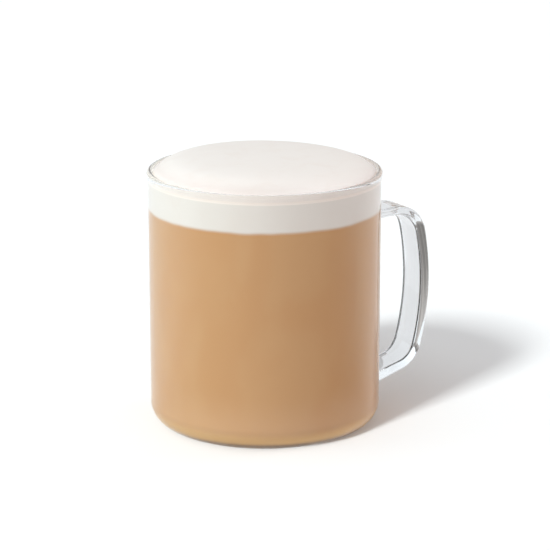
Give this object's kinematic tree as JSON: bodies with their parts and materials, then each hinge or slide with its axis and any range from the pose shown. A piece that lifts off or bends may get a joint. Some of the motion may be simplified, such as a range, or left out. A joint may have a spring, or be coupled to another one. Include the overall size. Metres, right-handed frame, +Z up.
{
  "type": "masala chai in a glass mug",
  "caption": "Milky spiced tea in a clear straight-sided glass mug with a strap handle, under a cap of frothed milk that domes above the rim.",
  "frame": {"origin": "centre of the mug's flat base, on the mug's axis", "axes": "+Z up along the mug's axis, +X from the axis towards the handle, +Y to the left of the handle seen from above its grip"},
  "size_m": [0.1129, 0.0868, 0.1016],
  "materials": {
    "clear_glass": "clear, fire-polished",
    "milk_tea": "opaque milky liquid",
    "milk_froth": "soft microfoam"
  },
  "bodies": {
    "root": {"glass_mug": "clear_glass", "chai": "milk_tea", "milk_foam": "milk_froth"}
  },
  "joints": []
}
